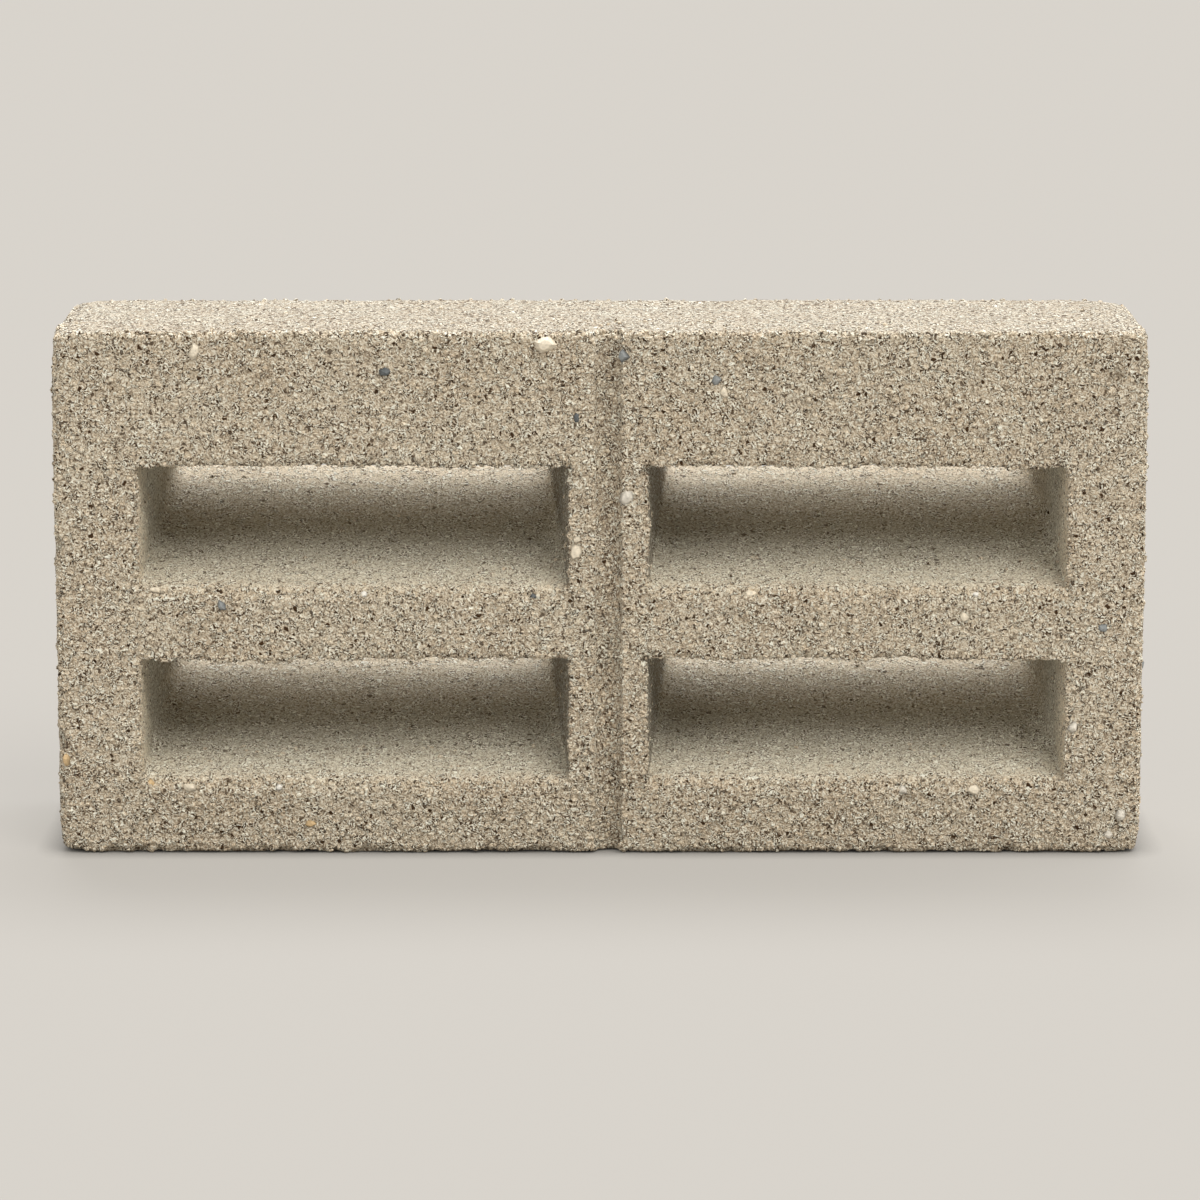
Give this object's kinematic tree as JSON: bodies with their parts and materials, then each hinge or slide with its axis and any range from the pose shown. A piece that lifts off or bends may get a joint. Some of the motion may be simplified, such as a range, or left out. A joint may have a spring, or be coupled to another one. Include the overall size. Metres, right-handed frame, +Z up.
{
  "type": "concrete ventilation block",
  "caption": "Cast concrete ventilation block: long slots climb through it to the back, and an upright dummy joint divides its face.",
  "frame": {"origin": "middle of the bottom bed, on the floor", "axes": "+X along the face to the right as seen from the front, +Y from the front face to the back, +Z up"},
  "size_m": [0.39, 0.09, 0.19],
  "materials": {
    "concrete": "rough, open-grained, cast"
  },
  "bodies": {
    "root": {"concrete_block": "concrete"}
  },
  "joints": []
}
